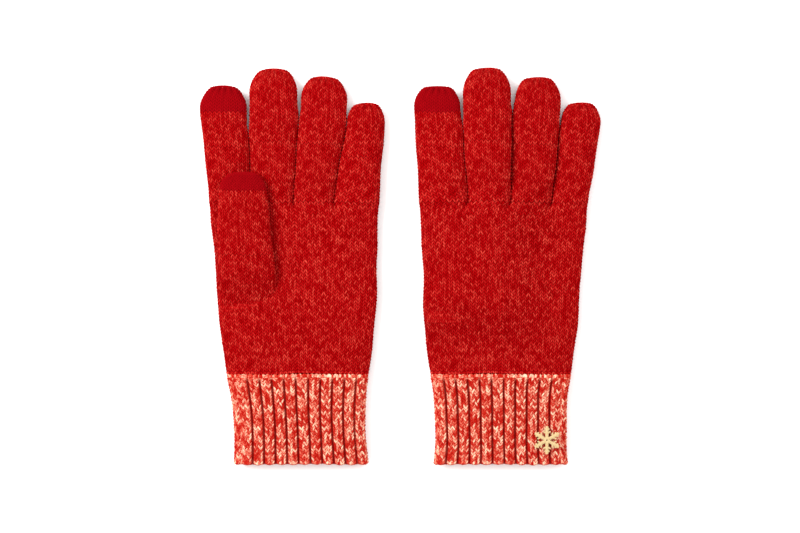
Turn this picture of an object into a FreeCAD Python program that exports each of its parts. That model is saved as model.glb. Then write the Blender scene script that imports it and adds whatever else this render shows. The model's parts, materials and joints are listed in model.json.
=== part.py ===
"""A pair of knitted wool touchscreen gloves, laid flat on a table.

+Z is up and +Y points to the fingertips. The left-hand glove lies at -X with its palm up and its
thumb folded onto the palm. The right-hand glove lies at +X with its back up and its thumb folded
under the palm, so its hand rises over the thumb. Each glove is knitted as a hand tube, a ribbed
cuff, four finger tubes and a thumb tube, all hollow, with conductive tips on index and thumb.
"""
import FreeCAD, Part
import math
import os
from FreeCAD import Vector

# ---- Driving dimensions, in millimetres -----------------------------------------------------
knit_wall = 1.8                # one layer of the plain knit
rib_wall = 2.5                 # one layer of the ribbed cuff
thumb_wall = 1.55              # one layer of the thumb, flattened by folding
hand_thickness = 10.0          # two layers and the air between them
cuff_thickness = 11.0
thumb_thickness = 7.4

hand_length = 109.2            # wrist line to the line where the fingers part
wrist_width = 88.6
palm_width = 99.5              # half way up the hand
palm_line = 52.0               # where the palm width is measured
cuff_length = 56.8
cuff_mouth_width = 82.4
cuff_shoulder = 20.0           # the cuff narrows from the wrist over this length
link_row = 1.6                 # row of linking stitches between cuff and hand

finger_names = ["index", "middle", "ring", "little"]
finger_lengths = [73.2, 84.2, 78.8, 62.6]         # from the finger line to each tip
first_fold = [22.6, 26.0, 24.5, 19.0]             # finger line to the middle joint
second_fold = [47.0, 53.0, 50.0, 39.0]            # finger line to the end joint
base_gap = 0.6                 # between neighbouring fingers where they part
tip_gap = 1.2                  # between neighbouring fingers at their widest

thumb_line = 54.8              # wrist line to the thumb's root
thumb_length = 73.4
thumb_root_width = 37.0
thumb_tip_width = 31.0
thumb_root_radius = 5.0
thumb_fold = 40.0              # thumb root to the thumb's own joint
index_tip_length = 16.2        # conductive yarn
thumb_tip_length = 12.6

body_gap = 0.3                 # between parts that move on each other
fold_proud = 0.15              # a fold line lies just outside the knit
over_thumb_gap = 0.6           # the hand that lies over a thumb clears it by this
thumb_reach_gap = 3.0          # the index folds at least this far past the thumb's end
window_size = (22.0, 15.0)     # way from the hand into the thumb, across and along
window_inset = 6.0             # thumb root to the window
glove_spacing = 128.8          # wrist centre to wrist centre

motif_height = 18.0            # six-armed embroidered star on the right cuff
motif_arm = 2.2
motif_proud = 0.9
motif_x = 29.5                 # from the middle of the cuff
motif_y = -41.5                # from the wrist line

# Plan of each glove, thumb side first. Shifts are from the middle of the wrist.
gloves = {
    "left": {
        "palm_up": True,
        "base_widths": [25.8, 27.1, 25.8, 27.7],
        "tip_widths": [29.3, 30.2, 29.0, 23.4],
        "base_shift": -1.9,
        "tip_shift": -2.6,
        "thumb_shift": -31.0,
        "thumb_lean": -3.0,
        "cuff_shift": 2.0,
    },
    "right": {
        "palm_up": False,
        "base_widths": [31.0, 25.6, 25.3, 23.2],
        "tip_widths": [29.3, 29.9, 29.0, 24.6],
        "base_shift": 1.95,
        "tip_shift": 4.0,
        "thumb_shift": -29.0,
        "thumb_lean": -2.0,
        "cuff_shift": -0.3,
    },
}

# ---- Worked out from them -------------------------------------------------------------------
thumb_rise = thumb_thickness + over_thumb_gap     # height of a hand lying over its thumb
rise_start = 10.0                                 # along the hand, from the wrist
rise_end = thumb_line - 4.0
fall_width = 48.0                                 # across the hand, from thumb to table
thumb_margin = 2.5                                # the rise is level this far past the thumb
hand_sections = 14                                # along the hand's length
big = 400.0                                       # larger than any piece


def smooth_step(value):
    value = min(max(value, 0.0), 1.0)
    return value ** 3 * (10 - 15 * value + 6 * value ** 2)


def rise_at(glove, x, y):
    """Height of the hand's underside above the table."""
    if glove["palm_up"]:
        return 0.0
    level_to = glove["thumb_shift"] + thumb_root_width / 2 + thumb_margin
    across = 1 - smooth_step((x - level_to) / fall_width)
    along = smooth_step((y - rise_start) / (rise_end - rise_start))
    return thumb_rise * across * along


def band(glove, y, left, right, thickness, inset=0.0, points=15):
    """Section across a flat tube: two long curves joined by round sides."""
    radius = thickness / 2 - inset
    start = left + inset + radius
    end = right - inset - radius
    xs = [start + (end - start) * i / (points - 1) for i in range(points)]
    heights = [rise_at(glove, x, y) + inset for x in xs]
    low = [Vector(x, y, z) for x, z in zip(xs, heights)]
    high = [Vector(x, y, z + 2 * radius) for x, z in zip(xs, heights)]
    low_curve = Part.BSplineCurve()
    low_curve.interpolate(low)
    high_curve = Part.BSplineCurve()
    high_curve.interpolate(high[::-1])
    right_side = Part.Arc(low[-1], Vector(end + radius, y, heights[-1] + radius), high[-1])
    left_side = Part.Arc(high[0], Vector(start - radius, y, heights[0] + radius), low[0])
    curves = [low_curve, right_side, high_curve, left_side]
    return Part.Wire([curve.toShape() for curve in curves])


def band_loft(glove, stations, thickness, inset=0.0, overrun=0.0):
    """Solid through bands at (y, left, right); overrun extends both ends for a clean cut."""
    wires = [band(glove, y, left, right, thickness, inset) for y, left, right in stations]
    body = Part.makeLoft(wires, True)
    if overrun:
        for end, step in ((wires[0], -overrun), (wires[-1], overrun)):
            body = body.fuse(Part.Face(end).extrude(Vector(0, step, 0)))
    return body


def hand_stations(glove):
    base_width = sum(glove["base_widths"])
    stations = []
    for i in range(hand_sections):
        y = hand_length * i / (hand_sections - 1)
        if y <= palm_line:
            width = wrist_width + (palm_width - wrist_width) * math.sin(math.pi / 2 * y / palm_line)
        else:
            share = (y - palm_line) / (hand_length - palm_line)
            width = palm_width + (base_width - palm_width) * smooth_step(share)
        centre = glove["base_shift"] * y / hand_length
        stations.append((y, centre - width / 2, centre + width / 2))
    return stations


def make_hand(glove):
    stations = hand_stations(glove)
    outer = band_loft(glove, stations, hand_thickness)
    inner = band_loft(glove, stations, hand_thickness, knit_wall, overrun=5.0)
    hand = outer.cut(inner)
    return hand.cut(thumb_window(glove))


def thumb_window(glove):
    """Block that opens the palm and the thumb's near wall to each other."""
    width, length = window_size
    low = hand_thickness - knit_wall - 0.6 if glove["palm_up"] else thumb_thickness - thumb_wall - 0.6
    tall = 0.6 + max(knit_wall, thumb_wall) * 2 + over_thumb_gap + 0.6
    x = glove["thumb_shift"] - width / 2
    return Part.makeBox(width, length, tall, Vector(x, thumb_line + window_inset, low))


def make_cuff(glove):
    start = -body_gap - link_row
    shoulder = glove["cuff_shift"] * cuff_shoulder / cuff_length
    half = cuff_mouth_width / 2
    end_width = wrist_width / 2
    stations = [
        (start, -end_width, end_width),
        (-cuff_shoulder, shoulder - half, shoulder + half),
        (-cuff_length, glove["cuff_shift"] - half, glove["cuff_shift"] + half),
    ]
    flat = {"palm_up": True}
    outer = band_loft(flat, stations, cuff_thickness)
    inner = band_loft(flat, stations, cuff_thickness, rib_wall, overrun=5.0)
    return outer.cut(inner)


def make_link_row():
    half = wrist_width / 2
    flat = {"palm_up": True}
    rim = band(flat, -body_gap, -half, half, cuff_thickness)
    hole = band(flat, -body_gap, -half, half, cuff_thickness, rib_wall)
    direction = Vector(0, -link_row, 0)
    return Part.Face(rim).extrude(direction).cut(Part.Face(hole).extrude(direction))


def pouch(base, tip, base_y, top_y, thickness, inset=0.0, root_radius=0.0):
    """Flat closed tube with a domed end. base and tip are (left, right) edges."""
    left, right = base[0] + inset, base[1] - inset
    tip_left, tip_right = tip[0] + inset, tip[1] - inset
    top = top_y - inset
    dome = (tip_right - tip_left) / 2 * 1.05
    corners = [
        Vector(tip_left, top - dome, 0),
        Vector(left, base_y + inset, 0),
        Vector(right, base_y + inset, 0),
        Vector(tip_right, top - dome, 0),
    ]
    apex = Vector((tip_left + tip_right) / 2, top, 0)
    edges = [Part.LineSegment(a, b).toShape() for a, b in zip(corners, corners[1:])]
    edges.append(Part.Arc(corners[3], apex, corners[0]).toShape())
    body = Part.Face(Part.Wire(edges)).extrude(Vector(0, 0, thickness - 2 * inset))
    if root_radius:
        roots = [edge for edge in body.Edges if is_upright(edge) and edge.CenterOfMass.y < base_y + 5]
        body = body.makeFillet(root_radius - inset, roots)
    rims = [edge for edge in body.Edges if not is_upright(edge)]
    body = body.makeFillet(thickness / 2 - inset - 0.05, rims)
    body.translate(Vector(0, 0, inset))
    return body


def is_upright(edge):
    box = edge.BoundBox
    return box.ZLength > 1 and box.XLength < 0.01 and box.YLength < 0.01


def slice_along(body, low_y, high_y):
    slab = Part.makeBox(big, high_y - low_y, big, Vector(-big / 2, low_y, -big / 2))
    return body.common(slab)


def edges_side_by_side(widths, gap, shift):
    """(left, right) of items laid in a row, centred on shift."""
    left = shift - (sum(widths) + gap * (len(widths) - 1)) / 2
    sides = []
    for width in widths:
        sides.append((left, left + width))
        left += width + gap
    return sides


def finger_edges(glove):
    inner = [width - base_gap for width in glove["base_widths"]]
    bases = edges_side_by_side(inner, base_gap, glove["base_shift"])
    tips = edges_side_by_side(glove["tip_widths"], tip_gap, glove["tip_shift"])
    return bases, tips


def palm_height(glove, base_height, thickness):
    """Height of the palm-side surface, just outside the knit."""
    if glove["palm_up"]:
        return base_height + thickness + fold_proud
    return base_height - fold_proud


def finger_places(glove):
    """Per finger: middle of its root, its height there, its folds and its slant to the table."""
    bases, tips = finger_edges(glove)
    places = []
    for i, name in enumerate(finger_names):
        middle = sum(bases[i]) / 2
        height = rise_at(glove, middle, hand_length)
        fold = first_fold[i]
        if name == "index":
            fold = max(fold, thumb_line + thumb_length + thumb_reach_gap - hand_length)
        beyond = finger_lengths[i] - fold - hand_thickness / 2
        places.append({
            "name": name,
            "base": bases[i],
            "tip": tips[i],
            "height": height,
            "top": hand_length + finger_lengths[i],
            "fold": hand_length + fold,
            "end_fold": hand_length + second_fold[i],
            "slant": math.degrees(math.asin(height / beyond)),
        })
    return places


def make_finger(glove, place):
    """Root, middle and end of one finger tube; the index also has its conductive tip."""
    root_y = hand_length - 15.0
    sides = (place["base"], place["tip"], root_y, place["top"], hand_thickness)
    tube = pouch(*sides).cut(pouch(*sides, inset=knit_wall))
    half_gap = body_gap / 2
    cap = place["top"] - index_tip_length if place["name"] == "index" else big
    cuts = {
        "base": (hand_length, place["fold"] - half_gap),
        "middle": (place["fold"] + half_gap, place["end_fold"] - half_gap),
        "end": (place["end_fold"] + half_gap, cap),
    }
    if place["name"] == "index":
        cuts["touch_tip"] = (cap, big)
    pieces = {}
    for part, (low, high) in cuts.items():
        piece = slice_along(tube, low, high)
        if part != "base":
            hinge = Vector(0, place["fold"], palm_height(glove, 0, hand_thickness))
            piece.rotate(hinge, Vector(1, 0, 0), -place["slant"])
        piece.translate(Vector(0, 0, place["height"]))
        pieces[part] = piece
    return pieces


def thumb_height(glove):
    return hand_thickness + body_gap if glove["palm_up"] else 0.0


def make_thumb(glove):
    centre = glove["thumb_shift"]
    tip_centre = centre + glove["thumb_lean"]
    root = (centre - thumb_root_width / 2, centre + thumb_root_width / 2)
    tip = (tip_centre - thumb_tip_width / 2, tip_centre + thumb_tip_width / 2)
    top = thumb_line + thumb_length
    sides = (root, tip, thumb_line, top, thumb_thickness)
    outer = pouch(*sides, root_radius=thumb_root_radius)
    tube = outer.cut(pouch(*sides, inset=thumb_wall, root_radius=thumb_root_radius))
    tube.translate(Vector(0, 0, thumb_height(glove)))
    tube = tube.cut(thumb_window(glove))
    fold = thumb_line + thumb_fold
    cap = top - thumb_tip_length
    return {
        "base": slice_along(tube, -big, fold - body_gap / 2),
        "end": slice_along(tube, fold + body_gap / 2, cap),
        "touch_tip": slice_along(tube, cap, big),
    }


def make_motif():
    """Six thread-covered arms on the upper face of the cuff."""
    arms = []
    for turn in (0, 60, 120):
        arm = Part.makeBox(motif_arm, motif_height, motif_proud, Vector(-motif_arm / 2, -motif_height / 2, 0))
        arm.rotate(Vector(0, 0, 0), Vector(0, 0, 1), turn)
        arms.append(arm)
    star = arms[0].multiFuse(arms[1:]).removeSplitter()
    star.translate(Vector(motif_x, motif_y, cuff_thickness))
    return star


def make_glove(side):
    glove = gloves[side]
    nodes = {"hand": make_hand(glove), "cuff": make_cuff(glove), "cuff_link_row": make_link_row()}
    for place in finger_places(glove):
        for part, piece in make_finger(glove, place).items():
            nodes[place["name"] + "_" + part] = piece
    for part, piece in make_thumb(glove).items():
        nodes["thumb_" + part] = piece
    if side == "right":
        nodes["cuff_motif"] = make_motif()
    return nodes


def wrist_place(side):
    """Where a glove's wrist line crosses its middle, before the pair is centred."""
    return Vector(-glove_spacing / 2 if side == "left" else glove_spacing / 2, 0, 0)


nodes = {}
for side in gloves:
    for name, piece in make_glove(side).items():
        piece.translate(wrist_place(side))
        nodes[side + "_" + name] = piece

# The origin is the middle of the pair's outline, on the table.
whole = Part.makeCompound(list(nodes.values())).optimalBoundingBox(False, False)
to_origin = Vector(-whole.Center.x, -whole.Center.y, -whole.ZMin)

os.makedirs("parts", exist_ok=True)
for name, piece in nodes.items():
    piece.translate(to_origin)
    solids = piece.Solids
    shape = solids[0] if len(solids) == 1 else Part.makeCompound(solids)
    shape.exportStep("parts/" + name + ".step")
    print(name, "solids", len(solids), "valid", shape.isValid(), "volume %.0f" % shape.Volume)
print("pair: %.1f x %.1f x %.1f mm" % (whole.XLength, whole.YLength, whole.ZLength))
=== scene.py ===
import json
import math
import bpy
import numpy as np
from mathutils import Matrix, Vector


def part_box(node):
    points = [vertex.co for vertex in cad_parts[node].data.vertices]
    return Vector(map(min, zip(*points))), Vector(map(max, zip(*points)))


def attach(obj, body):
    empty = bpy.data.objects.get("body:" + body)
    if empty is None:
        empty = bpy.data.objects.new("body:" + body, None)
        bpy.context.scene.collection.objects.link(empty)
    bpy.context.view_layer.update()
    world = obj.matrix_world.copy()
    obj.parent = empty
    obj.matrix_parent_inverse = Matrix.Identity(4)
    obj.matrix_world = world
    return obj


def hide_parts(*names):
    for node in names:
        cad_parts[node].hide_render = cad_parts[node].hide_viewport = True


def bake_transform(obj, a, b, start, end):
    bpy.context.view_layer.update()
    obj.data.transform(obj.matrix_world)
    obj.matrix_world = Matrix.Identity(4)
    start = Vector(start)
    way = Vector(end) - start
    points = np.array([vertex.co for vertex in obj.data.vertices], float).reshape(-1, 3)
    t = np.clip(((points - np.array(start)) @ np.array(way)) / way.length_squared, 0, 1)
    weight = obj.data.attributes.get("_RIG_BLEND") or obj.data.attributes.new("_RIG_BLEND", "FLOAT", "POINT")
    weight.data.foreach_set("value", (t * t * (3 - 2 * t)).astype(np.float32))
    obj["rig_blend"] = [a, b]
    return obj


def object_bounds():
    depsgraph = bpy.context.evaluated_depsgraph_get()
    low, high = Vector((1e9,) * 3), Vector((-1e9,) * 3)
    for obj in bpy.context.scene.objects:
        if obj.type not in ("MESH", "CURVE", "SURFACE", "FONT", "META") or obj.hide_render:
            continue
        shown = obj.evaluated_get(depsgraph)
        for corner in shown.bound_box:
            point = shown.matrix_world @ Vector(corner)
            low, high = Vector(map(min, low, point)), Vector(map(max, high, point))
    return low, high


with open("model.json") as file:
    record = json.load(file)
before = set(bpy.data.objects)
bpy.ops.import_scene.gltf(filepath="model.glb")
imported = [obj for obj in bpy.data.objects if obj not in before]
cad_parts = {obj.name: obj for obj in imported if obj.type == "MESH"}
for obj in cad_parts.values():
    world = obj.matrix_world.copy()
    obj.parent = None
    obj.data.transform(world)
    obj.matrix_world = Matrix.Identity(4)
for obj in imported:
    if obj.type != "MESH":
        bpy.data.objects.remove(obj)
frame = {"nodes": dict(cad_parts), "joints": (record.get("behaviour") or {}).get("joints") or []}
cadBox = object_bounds()
bpy.ops.object.select_all(action="DESELECT")

millimetre = 0.001
edgeMargin = 0.3  # outlines are read this far inside a node's ends
jointPlace = {joint["name"]: Vector(joint.get("pos_m", (0, 0, 0))) for joint in frame["joints"]}
fingerNames = ["index", "middle", "ring", "little"]

knit = {
    "columns": 6,  # mesh columns in one wale
    "rows": 4,  # mesh rows in one course
    "wale": 2.9,  # width of a stitch
    "course": 2.05,  # height of a stitch
    "lean": 1.0,  # how far a stitch's legs climb, in courses
    "relief": 0.62,  # height of a leg over the grooves beside it
    "centreGroove": 0.3,  # what is left of the height between the two legs of a stitch
    "edgeGroove": 0.35,  # and between wales
    "rowGroove": 0.05,  # and between a stitch and the next above
    "legRound": 0.6,  # 1 is a round leg, less is a flatter one with steeper sides
    "rowRound": 0.7,
    "uneven": 0.1,  # stitches differ in height by about this share
    "proud": 0.15,  # how far the legs stand out of the CAD surface
    "wall": 1.8,
    "mergeWithin": 0.004,  # points closer than this are one
}

ripple = {  # knitting laid flat by hand strays in slow and in quick waves
    "sideways": (0.35, 0.2),
    "lengthwise": (0.35, 0.2),
    "upDown": (0.22, 0.12),
}


# outlines come from the CAD nodes, in millimetres

def edgesOf(node):
    mesh = frame["nodes"][node].data
    points = np.empty(len(mesh.vertices) * 3)
    mesh.vertices.foreach_get("co", points)
    pairs = np.empty(len(mesh.edges) * 2, int)
    mesh.edges.foreach_get("vertices", pairs)
    points = points.reshape(-1, 3) / millimetre
    return points[pairs[::2]], points[pairs[1::2]]


def outline(nodes, heights):
    # left, right, low and high side of the nodes at each distance along y
    ends = [edgesOf(node) for node in nodes]
    start = np.concatenate([pair[0] for pair in ends])
    stop = np.concatenate([pair[1] for pair in ends])
    sides = []
    for y in heights:
        crossing = (start[:, 1] - y) * (stop[:, 1] - y) < 0
        a, b = start[crossing], stop[crossing]
        share = ((y - a[:, 1]) / (b[:, 1] - a[:, 1]))[:, None]
        cut = a + (b - a) * share
        sides.append((cut[:, 0].min(), cut[:, 0].max(), cut[:, 2].min(), cut[:, 2].max()))
    return np.array(sides).T


def boxOf(node):
    low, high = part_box(node)
    return np.array(low) / millimetre, np.array(high) / millimetre


def ease(share):
    share = np.clip(share, 0, 1)
    return share ** 3 * (10 - 15 * share + 6 * share ** 2)


def around(share, halfWidth, halfThick, roundness):
    # share 0 is the left side, 0.25 the top, 0.5 the right side; even steps of share are even lengths
    turns = np.pi * ease(np.linspace(0, 1, 301))
    across = -np.sign(np.cos(turns)) * np.abs(np.cos(turns)) ** (2 / roundness)
    up = np.sin(turns) ** (2 / roundness)
    folded = np.where(share <= 0.5, share * 2, 2 - share * 2)
    turn = np.empty_like(share)
    for row in range(len(share)):
        steps = np.hypot(np.diff(across) * halfWidth[row], np.diff(up) * halfThick[row])
        lengths = np.concatenate([[0], np.cumsum(steps)])
        turn[row] = np.interp(folded[row], lengths / lengths[-1], turns)
    x = -np.sign(np.cos(turn)) * np.abs(np.cos(turn)) ** (2 / roundness)
    z = np.abs(np.sin(turn)) ** (2 / roundness) * np.where(share <= 0.5, 1, -1)
    return x, z


def normals(points):
    across = np.roll(points[:, :-1], -1, axis=1) - np.roll(points[:, :-1], 1, axis=1)
    across = np.concatenate([across, across[:, :1]], axis=1)
    along = np.gradient(points, axis=0)
    normal = np.cross(across, along)
    return normal / (np.linalg.norm(normal, axis=-1, keepdims=True) + 1e-9)


def wander(points, glove, amount=1.0):
    x, y = points[..., 0], points[..., 1]
    seed = 0.0 if glove["side"] == "left" else 2.1
    slow, quick = ripple["sideways"]
    shiftX = slow * np.sin(y / 13.0 + seed) * np.cos(x / 31.0 + 1.0) + quick * np.sin(y / 5.3 + x / 17.0 + seed)
    slow, quick = ripple["lengthwise"]
    shiftY = slow * np.sin(x / 11.0 + seed + 0.5) + quick * np.sin(x / 4.7 + y / 19.0)
    slow, quick = ripple["upDown"]
    shiftZ = slow * np.sin(x / 9.0 + seed) * np.sin(y / 12.0 + 0.4) + quick * np.sin(x / 4.1 + y / 5.9)
    return points + np.stack([shiftX, shiftY, shiftZ], axis=-1) * amount


# stitches: a wale is a column of them, a course is a row

def stitchGrid(columns, rows, before=0):
    wale = (np.arange(columns + 1)[None, :] - before) / knit["columns"] + np.zeros((rows + 1, 1))
    course = np.arange(rows + 1)[:, None] / knit["rows"] + np.zeros((1, columns + 1))
    return wale, course


def legs(wale, course, form):
    # height of plain knitting, 0 in the grooves and 1 on a leg
    side = np.abs((wale % 1) * 2 - 1)  # 1 between wales, 0 at the stitch's centre
    across = np.sin(np.pi * side) ** form["legRound"]
    across = np.maximum(across, form["centreGroove"] * (1 - side) ** 2)
    across = np.maximum(across, form["edgeGroove"] * side ** 2)
    step = course % 1
    along = form["rowGroove"] + (1 - form["rowGroove"]) * np.sin(np.pi * step) ** form["rowRound"]
    return across * along


def climb(wale):
    return np.abs((wale % 1) * 2 - 1) - 0.5


def jitter(wale, course, seed):
    table = np.random.default_rng(seed).normal(0, 1, (97, 101))
    return table[np.floor(wale).astype(int) % 97, np.floor(course).astype(int) % 101]


def swatch(name, points, wale, course, height):
    # a flat piece with a point for each mesh corner, laid on the form and linked at its sides
    rows, columns = points.shape[0] - 1, points.shape[1] - 1
    bpy.ops.mesh.primitive_grid_add(x_subdivisions=columns, y_subdivisions=rows, size=1)
    piece = bpy.context.object
    piece.name = piece.data.name = name
    mesh = piece.data
    mesh.vertices.foreach_set("co", (points * millimetre).reshape(-1))
    mesh.uv_layers[0].name = "OFBake"
    corner = np.empty(len(mesh.loops), int)
    mesh.loops.foreach_get("vertex_index", corner)
    stitchMap = mesh.uv_layers.new(name="stitch")
    both = np.stack([wale.reshape(-1)[corner], course.reshape(-1)[corner]], axis=-1)
    stitchMap.uv.foreach_set("vector", both.astype(np.float32).reshape(-1))
    # the heights are kept on each point to paint shade: low values get the material's painted groove shade
    paintedLight = mesh.attributes.new("paintedLight", "FLOAT", "POINT")
    paintedLight.data.foreach_set("value", height.reshape(-1).astype(np.float32))
    mesh.uv_layers.active_index = 0
    bpy.ops.object.mode_set(mode="EDIT")
    bpy.ops.mesh.select_all(action="SELECT")
    bpy.ops.mesh.remove_doubles(threshold=knit["mergeWithin"] * millimetre)
    bpy.ops.object.mode_set(mode="OBJECT")
    bpy.ops.object.shade_smooth()
    piece.select_set(False)
    return piece


def closingLine(ring, shrink=0.9):
    # the ring flattened to a line, where its upper and lower half meet
    middle = ring[:-1, 0].mean()
    line = (ring + ring[::-1]) / 2
    line[:, 0] = middle + (line[:, 0] - middle) * shrink
    return line


def cutPiece(name, grid, wale, course, height, first, last):
    # rows first to last of a tube, closed where it was cut
    points = [closingLine(grid[first])[None], grid[first:last + 1]]
    courses = [course[first:first + 1] - 1, course[first:last + 1]]
    heights = [height[first:first + 1], height[first:last + 1]]
    if last < len(grid) - 1:
        points.append(closingLine(grid[last])[None])
        courses.append(course[last:last + 1] + 1)
        heights.append(height[last:last + 1])
    points = np.concatenate(points)
    wales = np.repeat(wale[:1], len(points), axis=0)
    return swatch(name, points, wales, np.concatenate(courses), np.concatenate(heights))


def finish(piece, material, replaced):
    piece.data.materials.append(material)
    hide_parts(*replaced)


def blendWrist(piece, glove):
    side = glove["side"]
    fold = jointPlace[f"{side}_wrist_fold"]
    reach = cuff["bendReach"] * millimetre
    start = (fold[0], fold[1] - reach, fold[2])
    end = (fold[0], fold[1] + reach, fold[2])
    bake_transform(piece, f"{side}_cuff", f"{side}_hand", start=start, end=end)


def blendFold(piece, joint, parent, child, reach):
    fold = jointPlace[joint]
    start = (fold[0], fold[1] - reach * millimetre, fold[2])
    end = (fold[0], fold[1] + reach * millimetre, fold[2])
    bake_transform(piece, parent, child, start=start, end=end)


tips = {  # closed ends of fingers and thumbs
    "flatCurve": 0.3,  # less is squarer, seen from above
    "depthCurve": 0.62,  # less keeps more thickness towards the end
    "leanFade": 5.0,  # stitches stop leaning over the last courses
    "evenCourses": 3.0,  # and the very last are all the same height
    "smallest": 0.1,  # legs get lower with their wales, down to this share
    "bow": 0.5,  # the touch tip's edge dips this much in the middle
    "bowReach": 12.0,  # and courses near it follow over this length
    "capUp": 1.6,  # its edge lies above the CAD's by this much
}


def domed(along, length, dome, half, flat):
    # distance along the knit to distance along y, and how much of the width and thickness is left
    straight = length - dome
    arc = np.pi / 2 * math.sqrt((dome ** 2 + half ** 2) / 2)
    turn = np.clip((along - straight) / arc, 0, 1) * np.pi / 2
    y = np.minimum(along, straight) + dome * np.sin(turn)
    left = np.abs(np.cos(turn))
    width = (1 - flat) * left + flat * left ** tips["flatCurve"]
    depth = left ** tips["depthCurve"]
    return y, np.maximum(width, 1e-4), np.maximum(depth, 1e-4)


def knitLength(length, dome, half):
    return length - dome + np.pi / 2 * math.sqrt((dome ** 2 + half ** 2) / 2)


def capAlong(part, dome, total):
    # distance along the knit to the touch tip's edge
    straight = part["length"] - dome
    if part["cap"] <= straight:
        return part["cap"]
    return straight + math.asin((part["cap"] - straight) / dome) / (np.pi / 2) * (total - straight)


def bowed(along, share, cap):
    middle = np.sin(np.pi * np.minimum(share * 2, 2 - share * 2))
    return along - tips["bow"] * middle * np.exp(-((along - cap) / tips["bowReach"]) ** 2)


def drawTogether(grid):
    # the last row meets in a point, and the legs get smaller with their wales
    grid[-1] = grid[-1, :-1].mean(axis=0)
    direction = normals(grid)
    direction[-1] = (0, 1, 0)
    spacing = np.linalg.norm(np.diff(grid, axis=1), axis=-1)
    spacing = np.concatenate([spacing, spacing[:, :1]], axis=1) * knit["columns"] / knit["wale"]
    return direction, np.clip(spacing * 1.1, tips["smallest"], 1)


hand = {
    "walesPerFinger": 9,
    "roundness": 2.7,  # 2 is an ellipse, more is squarer
    "stations": 27,  # places where the CAD outline is read
    "cleftReach": 10.0,  # length of the dip below each finger's root
    "cleftThick": 1.5,  # stitches fade out where the clefts are thinner than this
    # the laid knitting spreads past the CAD outline: distance above the wrist, then how far
    "spread": {"left": (((0, -0.3), (25, 0.2), (52, -1.0), (85, 0), (109, 0)),
                        ((0, 0.9), (20, 0.7), (40, 1.6), (58, 2.4), (74, 1.2), (90, -0.2), (109, 0))),
               "right": (((0, 0.2), (25, 0), (109, 0)),
                         ((0, 0.8), (20, 0.3), (55, 0.1), (74, 0.9), (109, 0.9)))},
    "cavityEnd": 90.0,  # the hollow seen through the cuff ends here
    "cavityRound": 4.0,  # and draws together over this much more
    "rimDip": 0.1,  # the wall's edge at the wrist lies this much lower
    "liftStart": 10.0,  # the hand over a thumb climbs from here
    "liftEnd": 50.8,  # to here
    "liftFall": 48.0,  # and falls to the table over this width
    "liftMargin": 2.5,
    "leanStart": 1.5,  # stitches lean fully after so many courses
    "evenCourses": 2.0,  # the courses at each end that are all the same height
    "hiddenStep": 3.0,  # courses between the mesh rows inside
    # painted shade for the mesh rows inside the hand, given as a leg height: lower is darker
    "hiddenShade": 0.4,
}


def readGlove(side):
    low, high = boxOf(f"{side}_hand")
    glove = {"side": side, "wrist": low[1], "fork": high[1], "length": high[1] - low[1]}
    glove["table"] = boxOf(f"{side}_cuff")[0][2]
    glove["thick"] = boxOf("left_hand")[1][2] - boxOf("left_hand")[0][2]
    stations = np.linspace(edgeMargin, glove["length"] - edgeMargin, hand["stations"])
    sides = outline([f"{side}_hand"], glove["wrist"] + stations)
    glove["handStations"] = stations
    glove["handEdges"] = [edge + np.interp(stations, *zip(*spread))
                          for edge, spread in zip(sides[:2], hand["spread"][side])]
    glove["lift"] = boxOf(f"{side}_index_base")[0][2] - glove["table"]
    glove["liftEdge"] = boxOf(f"{side}_thumb_base")[1][0] + hand["liftMargin"]
    glove["fingers"] = {name: readFinger(glove, name) for name in fingerNames}
    layTogether(glove)
    glove["thumb"] = readThumb(glove)
    return glove


def liftOf(glove, x, y):
    # how far the hand rises over a thumb folded under it
    if glove["lift"] < 1:
        return 0 * x
    across = 1 - ease((x - glove["liftEdge"]) / hand["liftFall"])
    along = ease((y - glove["wrist"] - hand["liftStart"]) / (hand["liftEnd"] - hand["liftStart"]))
    return glove["lift"] * across * along


def lobes(glove, columns):
    # the ring where the four fingers meet the hand
    each = columns // 8
    x, z = np.empty(columns + 1), np.empty(columns + 1)
    share = np.linspace(0, 0.5, each + 1)[None, :]
    thick = glove["thick"] / 2
    for place, name in enumerate(fingerNames):
        finger = glove["fingers"][name]
        half = finger["half"][0]
        px, pz = around(share, np.array([half]), np.array([thick]), fingers["roundness"])
        px = finger["centre"][0] + px[0] * half
        pz = pz[0] * thick
        start = place * each
        x[start:start + each + 1] = px
        z[start:start + each + 1] = pz
        x[columns - start - each:columns - start + 1] = px[::-1]
        z[columns - start - each:columns - start + 1] = -pz[::-1]
    for place in range(1, 4):  # neighbours share the bottom of the cleft
        left, right = glove["fingers"][fingerNames[place - 1]], glove["fingers"][fingerNames[place]]
        middle = (left["centre"][0] + left["half"][0] + right["centre"][0] - right["half"][0]) / 2
        for column in (place * each, columns - place * each):
            x[column], z[column] = middle, 0
    return x, z


def handForm(glove, share, along, inset=0.0):
    nominal = along.mean(axis=1)
    left, right = (np.interp(along, glove["handStations"], edge) for edge in glove["handEdges"])
    rowLeft, rowRight = (np.interp(nominal, glove["handStations"], edge) for edge in glove["handEdges"])
    half = (right - left) / 2 - inset
    thick = glove["thick"] / 2 - inset
    x, z = around(share, (rowRight - rowLeft) / 2 - inset, np.full(len(share), thick), hand["roundness"])
    x = (left + right) / 2 + x * half
    z = z * thick
    if not inset:
        lobeX, lobeZ = lobes(glove, share.shape[1] - 1)
        dip = np.clip((along - glove["length"] + hand["cleftReach"]) / hand["cleftReach"], 0, 1)
        x = x + (lobeX - x) * dip ** 2
        z = z + (lobeZ - z) * dip ** 3
    y = glove["wrist"] + along
    z = z + glove["table"] + glove["thick"] / 2 + liftOf(glove, x, y)
    return np.stack([x, y, z], axis=-1)


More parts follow.
